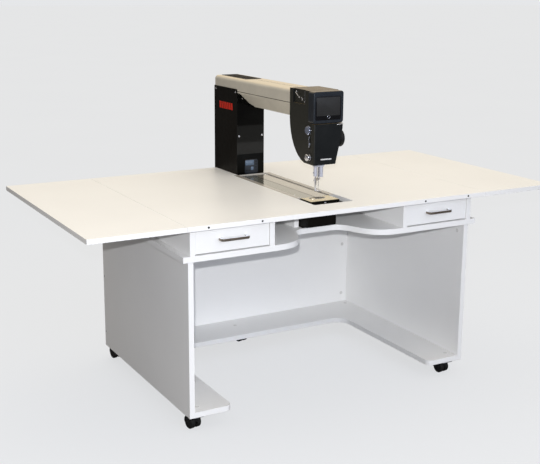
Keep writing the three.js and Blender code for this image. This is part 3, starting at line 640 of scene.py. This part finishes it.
# ---------------------------------------------------------------- machine column
def make_column_details():
    """Screws, the bar mark on the column's left, the lower cover of its front and the control panel."""
    low, high = box("column_shell")
    button_head = (4.0, "chrome", "root", "hex", 1.6)
    for side, sign in SIDES:
        out = (sign, 0, 0)
        screws(f"column_{side}_screws", [((sign * high.x, y, high.z - 12), out)
                                         for y in (high.y - 15, low.y + 11)], *button_head)

    front_y = low.y - 2.8
    facing = (0, -1, 0)
    screws("column_front_screws", [((sx * 51, front_y, 872), facing) for sx in (-1, 1)], *button_head)
    # on the sloping sides of the cradle below the arm
    screws("cradle_screws", [((sx * 44.3, low.y - 16, 1021), (sx, 0, -0.74)) for sx in (-1, 1)],
           *button_head)

    # a plain row of slanted bars, in place of any mark
    mesh = bmesh.new()
    bars, pitch, wide, tall, slant = 7, 17.0, 12.0, 27.0, 3.0
    start, foot_z = low.y + 35, 971
    place = Matrix.Translation((low.x, 0, foot_z)) @ Matrix(((0, 0, -1), (1, 0, 0), (0, 1, 0))).to_4x4()
    for k in range(bars):
        y = start + k * pitch
        outline = [(y, 0), (y + wide, 0), (y + wide + slant, tall), (y + slant, tall)]
        add_plate(mesh, outline, place, 0.35, 0.1, 1)
    piece("column_bar_mark", mesh, "mark_red")

    cover = 0.7
    cover_low, cover_top = box("column_front_plate")[0].z, 800
    width, tall = 2 * high.x - 1.2, cover_top - cover_low
    mesh = bmesh.new()
    add_plate(mesh, rounded(width, tall, 1.5), wall_frame((0, front_y, cover_low + tall / 2), facing),
              cover, 0.3)
    piece("column_lower_cover", mesh, "satin_dark")

    raised = 1.1
    panel = wall_frame((3, front_y - cover, 748), facing)
    mesh = bmesh.new()
    add_plate(mesh, rounded(58, 57, 7), panel, raised, 0.5)
    piece("control_panel", mesh, "screen_black")
    mesh = bmesh.new()
    on_panel = panel @ Matrix.Translation((0, 0, raised))
    add_plate(mesh, rounded(38, 20, 1.5, (-8, 16)), on_panel, 0.3, 0.1)
    add_plate(mesh, rounded(12, 14, 3, (3.5, -7.5)), on_panel, 0.3, 0.1)
    piece("control_display", mesh, "display_blue")
    mesh = bmesh.new()
    for u, v in ((21, 20), (21, 9), (21, -3), (21, -15), (-20, -14), (-9, -14)):
        add_turned(mesh, [(0, -0.2), (3.0, -0.2), (3.0, 0.5), (2.4, 1.0), (0, 1.2)],
                   on_panel @ Matrix.Translation((u, v, 0)), 20)
    piece("control_buttons", mesh, "black_plastic")


def make_column_rear():
    """The power inlet, sunk into its hole in the rear wall."""
    wall_y = box("column_shell")[1].y
    x, z = 24, 760
    place = wall_frame((x, wall_y - 2.5, z), (0, 1, 0))
    mesh = bmesh.new()
    outer = rounded(27.4, 21.4, 2.5)
    add_ring_plate(mesh, outer, rounded(21, 14, 2.5), place, 2.4)
    add_plate(mesh, outer, place @ Matrix.Translation((0, 0, -10)), 1.5)
    piece("power_inlet", mesh, "black_plastic")
    mesh = bmesh.new()
    for u, v in ((-6, -1.5), (0, 2), (6, -1.5)):
        add_box(mesh, (x + u - 0.8, wall_y - 11, z + v - 2), (x + u + 0.8, wall_y - 3.4, z + v + 2), 0.3)
    piece("power_inlet_pins", mesh, "chrome")


def make_timing_belt():
    """A toothed belt from the main shaft's pulley down to the lower shaft's."""
    upper, lower = [sum(corner.z for corner in box(shaft)) / 2 for shaft in ("main_shaft", "lower_shaft")]
    radius, belt, width = 20.2, 1.3, 12
    y = 324
    arc = 16
    loops = []
    for centre_z, start in ((upper, 0.0), (lower, math.pi)):
        for k in range(arc + 1):
            angle = start + math.pi * k / arc
            out = Vector((math.cos(angle), 0, math.sin(angle)))
            foot = Vector((0, y, centre_z)) + out * radius
            back = Vector((0, width, 0))
            loops.append([foot, foot + out * belt, foot + out * belt + back, foot + back])
    mesh = bmesh.new()
    add_skin(mesh, loops, closed=True)
    teeth = 60
    for sx in (-1, 1):
        x = sx * (radius - 0.35)
        for k in range(teeth):
            z = lower + (upper - lower) * (k + 0.5) / teeth
            add_box(mesh, (x - 0.4, y + 0.5, z - 1.5), (x + 0.4, y + width - 0.5, z + 1.5), 0.3, 1)
    piece("timing_belt", mesh, "wheel_black")


# ---------------------------------------------------------------- machine arm
def make_arm_details():
    """Louvres and rim of the vent, the seam and screw on the arm's top, and the gasket along its sides."""
    low, high = box("vent_cover")
    mesh = bmesh.new()
    pitch = 8.6
    tilt = Matrix.Rotation(math.radians(-32), 4, "X")
    span = high.y - low.y - 14
    count = int(span // pitch)
    for k in range(count):
        y = low.y + 7 + (k + 0.5) * span / count
        add_box(mesh, (low.x + 5, y - 2.6, high.z - 0.35), (high.x - 5, y + 2.6, high.z + 0.45), 0.25, 1,
                tilt)
    piece("vent_louvres", mesh, "louvre_brown")
    mesh = bmesh.new()
    middle = (low + high) / 2
    width, length = high.x - low.x, high.y - low.y
    add_ring_plate(mesh, rounded(width, length, 4), rounded(width - 7, length - 9, 3),
                   Matrix.Translation((middle.x, middle.y, high.z - 0.2)), 0.8)
    piece("vent_rim", mesh, "louvre_brown")

    arm_low, arm_high = box("arm_upper_shell")
    mesh = bmesh.new()
    add_box(mesh, (-0.7, arm_low.y + 1, arm_high.z - 0.5), (0.7, low.y - 1, arm_high.z + 0.2), 0.15, 1)
    piece("arm_top_seam", mesh, "satin_dark")
    screws("arm_top_screws", [((0, arm_low.y + 24, arm_high.z), (0, 0, 1))], 3.4, "dull_nickel", "root",
           proud=0.9)

    # dark gasket between the two shells of the arm
    groove_z = (arm_low.z + box("arm_lower_shell")[1].z) / 2
    column_y = box("column_shell")[0].y
    mesh = bmesh.new()
    for sx in (-1, 1):
        x = sx * (arm_high.x - 1.6)
        add_box(mesh, (x - 1.0, arm_low.y + 1, groove_z - 1.3), (x + 1.0, column_y, groove_z + 1.3), 0.3, 1)
    piece("arm_side_gasket", mesh, "satin_dark")


# ---------------------------------------------------------------- machine head
def make_screen():
    """The dark screen with its frame and the round button below it."""
    width, tall, frame_top = 103, 82, 0.7
    shown = tall - 19
    face = wall_frame((-4.3, box("screen_housing")[0].y, 1044.5), (0, -1, 0))
    on_frame = face @ Matrix.Translation((0, 0, frame_top))
    mesh = bmesh.new()
    sunk = 0.2
    add_plate(mesh, rounded(width, tall, 3.5), face @ Matrix.Translation((0, 0, -sunk)), frame_top + sunk,
              0.4)
    piece("screen_frame", mesh, "screen_rim")
    mesh = bmesh.new()
    add_plate(mesh, rounded(width - 9, shown, 1.2, (0, (tall - shown) / 2 - 4)), on_frame, 0.35, 0.15)
    piece("screen_glass", mesh, "screen_glass")
    button = on_frame @ Matrix.Translation((1.5, -tall / 2 + 10.5, 0))
    mesh = bmesh.new()
    add_turned(mesh, [(5.4, 0), (5.4, 0.5), (4.9, 0.8), (4.3, 0.5), (4.3, 0)], button, 32, closed=True)
    piece("screen_button_ring", mesh, "dull_nickel")
    mesh = bmesh.new()
    add_turned(mesh, [(0, 0), (3.6, 0), (3.6, 0.25), (3.2, 0.4), (0, 0.3)], button, 28)
    piece("screen_button", mesh, "screen_rim")


def make_thread_pocket(x, top_z):
    """The pocket high on the head's left side, with a metal strip, two pigtail guides and two screws."""
    strip_y, floor_z, deep = -254.7, 1053, 6
    mesh = bmesh.new()
    add_box(mesh, (x + 0.4, strip_y, floor_z + 4), (x + deep + 0.2, strip_y + 3.3, top_z - 4), 0.5)
    piece("pocket_front_strip", mesh, "dull_nickel")
    y, z = -196, 1086
    coil = [(x + deep, y + 10, z - 2), (x + 3, y + 10, z), (x, y + 8, z + 2), (x - 3, y, z + 3),
            (x - 4, y - 10, z - 2), (x - 3, y - 20, z - 9), (x, y - 24, z - 13), (x + 2.5, y - 19, z - 15),
            (x + 1, y - 15, z - 11), (x - 2, y - 20, z - 8)]
    wire("upper_pigtail", coil, 1.1, "chrome")
    eye = [(x + deep, y - 30, z - 14), (x + 2, y - 32, z - 12), (x - 1, y - 36, z - 12),
           (x + 1, y - 40, z - 16), (x + 3, y - 38, z - 20), (x + 1, y - 33, z - 20)]
    wire("lower_pigtail", eye, 1.0, "chrome")
    screws("pocket_screws", [((x + deep, -243, 1060), (-1, 0, 0)), ((x + deep, -186, 1092), (-1, 0, 0))],
           3.2, "chrome", "root")


def make_head_left():
    """Thread path on the head's left side: pocket, tension discs, check spring and knob detail."""
    low, high = box("head_housing")
    x = low.x
    make_thread_pocket(x, high.z)

    dial_low, dial_high = box("tension_dial")
    middle = (dial_low + dial_high) / 2
    out = Vector((-1, 0, 0))
    place = axis_frame((x, middle.y, middle.z), out)
    mesh = bmesh.new()
    for base in (1.6, 3.4):
        add_turned(mesh, [(4, base), (13.4, base - 0.3), (15.6, base + 0.5), (15.6, base + 0.9),
                          (13.4, base + 1.0), (4, base + 1.2)], place, 36, closed=True)
    piece("tension_discs", mesh, "chrome")
    mesh = bmesh.new()
    add_box_ring(mesh, place, 24, (12.4, -0.6, 5.0), (13.4, 0.6, 7.2), 0.2, 1)
    pointer = Vector((dial_low.x, middle.y, middle.z + 5))
    add_box(mesh, pointer - Vector((0.6, 1, 3)), pointer + Vector((0.4, 1, 3)), 0.3, 1)
    piece("tension_dial_ribs", mesh, "dull_nickel", "tension_dial_body")

    mesh = bmesh.new()
    bracket = [(-14, -10), (6, -14), (13, -8), (15, 2), (12, 12), (2, 17), (-10, 15)]
    add_plate(mesh, [(-u, v) for u, v in bracket][::-1], wall_frame((x, middle.y, middle.z), out), 1.4, 0.4)
    piece("tension_bracket", mesh, "dull_nickel")

    slot_y = -290.7
    spring = [(x + 4, slot_y, 944), (x + 1, slot_y, 947), (x - 3, slot_y - 0.5, 943),
              (x - 4, slot_y - 1, 934), (x - 3, slot_y, 923), (x - 1, slot_y + 0.5, 915),
              (x + 3, slot_y, 910)]
    wire("check_spring", spring, 0.9, "dull_nickel")
    mesh = bmesh.new()
    add_box(mesh, (x - 4.5, slot_y - 3.2, 908), (x + 3, slot_y + 3.2, 924), 1.2)
    piece("take_up_lever", mesh, "dull_nickel")

    knob_low, knob_high = box("side_knob")
    middle = (knob_low + knob_high) / 2
    place = axis_frame((knob_low.x, middle.y, middle.z), out)
    mesh = bmesh.new()
    add_turned(mesh, [(9.8, -9.2), (11.6, -8.6), (12.3, -6), (12.3, -2.6), (11.4, -0.9), (9.4, 0.2),
                      (5.0, 0.5), (4.2, -0.2), (0, -0.3)], place, 40)
    piece("side_knob_cap", mesh, "chrome", "side_knob_body")
    mesh = bmesh.new()
    add_turned(mesh, [(12.6, 0), (15.2, 0), (15.2, 2.0), (14.4, 3.0), (13.0, 3.4), (12.6, 3.2)],
               axis_frame((x, middle.y, middle.z), out), 36, closed=True)
    piece("side_knob_collar", mesh, "black_plastic")


def make_head_right():
    """The wire and light bar on the head's front, and the grips and cap of the handwheel."""
    low, high = box("head_front_cover")
    z, y = high.z - 4, low.y
    points = [(30, y + 1, z - 1), (32, y - 2.5, z), (44, y - 3, z + 1), (56, y - 1.5, z + 2),
              (60, y + 5, z + 1)]
    wire("face_wire_guide", points, 1.3, "chrome")
    # a plain light bar low on the face, where a name would stand
    mesh = bmesh.new()
    add_plate(mesh, rounded(44, 4.5, 1.5), wall_frame((-10, low.y, 867), (0, -1, 0)), 0.35, 0.1, 1)
    piece("face_bar", mesh, "badge_grey")

    wheel_low, wheel_high = box("handwheel")
    centre = (wheel_low + wheel_high) / 2
    radius = (wheel_high.z - wheel_low.z) / 2
    place = axis_frame((wheel_high.x, centre.y, centre.z), (1, 0, 0))
    mesh = bmesh.new()
    add_box_ring(mesh, place, 28, (radius - 1.2, -1.3, -15), (radius + 0.5, 1.3, -2.4), 0.6, 2)
    piece("handwheel_grips", mesh, "black_plastic", "handwheel_body")
    mesh = bmesh.new()
    add_turned(mesh, [(0, -0.4), (9, -0.4), (9, 0.5), (7.5, 1.2), (0, 1.3)], place, 32)
    add_turned(mesh, [(20, -0.3), (24, -0.3), (24, 0.5), (22, 0.9), (20, 0.5)], place, 48, closed=True)
    piece("handwheel_cap", mesh, "dull_nickel", "handwheel_body")


# ---------------------------------------------------------------- needle, foot and bed
def needle_line():
    """The needle's place along Y."""
    low, high = box("needle_bar")
    return (low.y + high.y) / 2


def make_needle_details():
    """Screws, thread guide and shank of the needle bar, and the rim of the hopping foot."""
    low, high = box("bar_guide_block")
    middle = (low + high) / 2
    screws("guide_block_screws", [((high.x, middle.y, high.z - 8), (1, 0, 0)),
                                  ((low.x, middle.y, low.z + 17), (-1, 0, 0))],
           2.6, "dull_nickel", "root", proud=3.2)
    mesh = bmesh.new()
    lug_y = (middle.y - 2.5, middle.y + 2.5)
    add_box(mesh, (high.x - 5.5, lug_y[0], high.z - 17), (high.x + 5, lug_y[1], high.z - 12), 1.0)
    piece("guide_block_lug", mesh, "dull_nickel")

    needle_y = needle_line()
    clamp_z = 787.5
    screws("needle_clamp_screw", [((4.6, needle_y, clamp_z), (1, 0, 0))], 2.0, "chrome",
           "needle_bar_body", "hex", 3.4)
    hook = [(-3, needle_y - 4, clamp_z - 1), (-7, needle_y - 7, clamp_z + 3),
            (-11, needle_y - 6, clamp_z - 1), (-10, needle_y - 5, clamp_z - 5),
            (-6, needle_y - 5, clamp_z - 6), (-3.5, needle_y - 4, clamp_z - 4)]
    wire("needle_thread_guide", hook, 0.9, "plate_steel", "needle_bar_body")
    shank = [(0, needle_y, clamp_z - 4.6), (0.4, needle_y, 770), (0, needle_y, 760)]
    wire("needle_shank", shank, 1.3, "chrome", "needle_bar_body")

    ring_z = box("hopping_foot")[0].z
    screws("foot_clamp_screw", [((-17, needle_y, 782), (-1, 0, 0))], 2.4, "chrome",
           "hopping_foot_body", "hex", 3.0)
    mesh = bmesh.new()
    add_turned(mesh, [(7.2, 3.2), (12.6, 3.2), (13.4, 2.2), (13.2, 0.6), (12.2, -0.25), (8.0, -0.25),
                      (7.2, 0.4)],
               Matrix.Translation((0, needle_y, ring_z)), 48, closed=True)
    piece("foot_ring_rim", mesh, "chrome", "hopping_foot_body")


def make_bed_details():
    """What lies on the needle plate and round it, and the screws of the bed cover."""
    low, high = box("needle_plate")
    needle_y = needle_line()
    top = Matrix.Translation((0, 0, high.z - 0.05))
    # an oval slide plate round the needle hole
    def oval(centre, half):
        turns = [2 * math.pi * k / 48 for k in range(48)]
        return [(centre[0] + half[0] * math.cos(turn), centre[1] + half[1] * math.sin(turn))
                for turn in turns]

    middle, rim = (-2, needle_y + 2), (33, 17)
    opening = oval(middle, [0.88 * reach for reach in rim])
    mesh = bmesh.new()
    add_ring_plate(mesh, oval(middle, rim), opening, top, 0.5)
    piece("plate_oval_rim", mesh, "dull_nickel")
    # so thin that the foot clears it, and open where the needle goes through
    mesh = bmesh.new()
    add_ring_plate(mesh, opening, oval((0, needle_y), (3.4, 3.4)), top, 0.14)
    piece("plate_oval_insert", mesh, "louvre_brown")
    mesh = bmesh.new()
    add_turned(mesh, [(0, 0), (8, 0), (8, 0.12), (7.8, 0.18), (0, 0.18)],
               Matrix.Translation((-19, needle_y + 2, high.z)), 28)
    piece("plate_finger_button", mesh, "plate_steel")
    corners = [((sx * 50, y, high.z), (0, 0, 1)) for sx in (-1, 1) for y in (low.y + 8, high.y - 8)]
    screws("needle_plate_screws", corners, 3.0, "plate_steel", "root", proud=0.5)

    mesh = bmesh.new()
    trim_low, trim_high = low.z - 3.5, high.z - 0.6
    add_box(mesh, (low.x - 0.9, low.y - 0.9, trim_low), (high.x + 0.9, low.y + 0.2, trim_high), 0.4)
    for x in (low.x - 0.9, high.x - 0.2):
        add_box(mesh, (x, low.y + 0.3, trim_low), (x + 1.1, high.y, trim_high), 0.4)
    piece("needle_plate_trim", mesh, "satin_dark")

    # latch of the hinged front plate
    mesh = bmesh.new()
    add_box(mesh, (-4, low.y - 2.2, low.z - 6), (4, low.y + 1, low.z - 1), 1.0)
    piece("bed_front_latch", mesh, "chrome")
    bed_low, bed_high = box("bed_cover")
    corners = [((sx * 48, y, bed_high.z), (0, 0, 1))
               for sx in (-1, 1) for y in (bed_low.y + 60, bed_high.y - 20)]
    screws("bed_cover_screws", corners, 2.8, "zinc_steel", "root", proud=0.4)


# ---------------------------------------------------------------- room, lights and camera
def make_floor():
    """A wide plain floor with soft corners."""
    mesh = bmesh.new()
    reach = 60.0
    add_plate(mesh, rounded(2 * reach, 2 * reach, 6, steps=8), Matrix.Translation((0, 0, -0.02)), 0.02)
    data = bpy.data.meshes.new("floor")
    mesh.to_mesh(data)
    mesh.free()
    floor = bpy.data.objects.new("floor", data)
    bpy.context.scene.collection.objects.link(floor)
    ground = Surface("floor", (0.8, 0.9, 3.0)).colour((0.17, 0.18, 0.2), (0.175, 0.185, 0.205), 0.8)
    ground.bump(60.0, 0.05)
    input_of(ground.shader, "Specular IOR Level", 0.0)
    # an evenly lit sweep: it looks pale and holds only faint shadows, and throws little light back up
    seen_directly = ground.tree.nodes.new("ShaderNodeLightPath").outputs["Is Camera Ray"]
    ground.to_shader(ground.mixed(seen_directly, (0.16, 0.16, 0.17), ground.tint), "Base Color")
    input_of(ground.shader, "Emission Color", (0.63, 0.635, 0.64, 1.0))
    ground.to_shader(seen_directly, "Emission Strength")
    data.materials.append(ground.material)


def make_world(dim, glows):
    """Soft light from all round: a dim base and broad glows, each (direction it comes from, colour, power).

    The camera sees a plain pale background in its place.
    """
    world = bpy.data.worlds.new("room")
    world.use_nodes = True
    tree = world.node_tree
    place = tree.nodes.new("ShaderNodeTexCoord").outputs["Generated"]

    def vector_math(operation, first, second, output="Vector"):
        made = tree.nodes.new("ShaderNodeVectorMath")
        made.operation = operation
        second_socket = made.inputs["Scale"] if operation == "SCALE" else made.inputs[1]
        for socket, value in ((made.inputs[0], first), (second_socket, second)):
            if isinstance(value, bpy.types.NodeSocket):
                tree.links.new(value, socket)
            else:
                socket.default_value = value
        return made.outputs[output]

    total = dim
    for direction, colour, power in glows:
        facing = tree.nodes.new("ShaderNodeMapRange")
        tree.links.new(vector_math("DOT_PRODUCT", place, Vector(direction).normalized(), "Value"),
                       facing.inputs["Value"])
        raised = tree.nodes.new("ShaderNodeMath")
        raised.operation = "POWER"
        raised.inputs[1].default_value = power
        tree.links.new(facing.outputs["Result"], raised.inputs[0])
        total = vector_math("ADD", vector_math("SCALE", colour, raised.outputs[0]), total)
    light = tree.nodes["Background"]
    tree.links.new(total, light.inputs["Color"])
    seen = input_of(tree.nodes.new("ShaderNodeBackground"), "Color", (0.79, 0.80, 0.815, 1.0))
    mix = tree.nodes.new("ShaderNodeMixShader")
    tree.links.new(tree.nodes.new("ShaderNodeLightPath").outputs["Is Camera Ray"], mix.inputs["Fac"])
    tree.links.new(light.outputs["Background"], mix.inputs[1])
    tree.links.new(seen.outputs["Background"], mix.inputs[2])
    tree.links.new(mix.outputs["Shader"], tree.nodes["World Output"].inputs["Surface"])
    bpy.context.scene.world = world


def make_flash(name, place, power, colour, radius):
    """A small soft lamp."""
    data = bpy.data.lights.new(name, "POINT")
    data.energy = power
    data.color = colour
    data.shadow_soft_size = radius
    light = bpy.data.objects.new(name, data)
    bpy.context.scene.collection.objects.link(light)
    light.location = place


def make_camera():
    """A camera in front of the table, to its left and a little above it."""
    azimuth, elevation, roll = math.radians(-29.984), math.radians(13.138), math.radians(0.57)
    back = Vector((math.sin(azimuth) * math.cos(elevation), -math.cos(azimuth) * math.cos(elevation),
                   math.sin(elevation)))
    right = (-back).cross(Vector((0, 0, 1))).normalized()
    up = right.cross(-back)
    right, up = (right * math.cos(roll) + up * math.sin(roll), up * math.cos(roll) - right * math.sin(roll))
    data = bpy.data.cameras.new("camera")
    data.sensor_width = 36.0
    data.lens = 66.48
    data.shift_x, data.shift_y = -0.0256, -0.0276
    camera = bpy.data.objects.new("camera", data)
    bpy.context.scene.collection.objects.link(camera)
    turn = Matrix((right, up, back)).transposed().to_4x4()
    camera.matrix_world = Matrix.Translation((-1.8405, -3.2023, 1.4563)) @ turn
    bpy.context.scene.camera = camera


dress_cad_nodes()
make_table_fasteners()
make_drawer_runners()
make_hinge_screws()
for caster in CASTERS:
    make_caster(caster)
make_column_details()
make_column_rear()
make_timing_belt()
make_arm_details()
make_screen()
make_head_left()
make_head_right()
make_needle_details()
make_bed_details()
make_floor()
overhead = ((0.3, 0.42, 0.86), (1.5, 1.37, 1.14), 1.6)
ahead = ((0.12, -1.0, -0.02), (1.78, 1.92, 2.24), 3.6)
make_world((0.05, 0.05, 0.055), [overhead, ahead])
make_flash("flash", (-1.86, -3.2, 1.553), 302, (0.96, 0.97, 1.0), 0.015)
make_camera()
bpy.context.scene.view_settings.view_transform = "Standard"
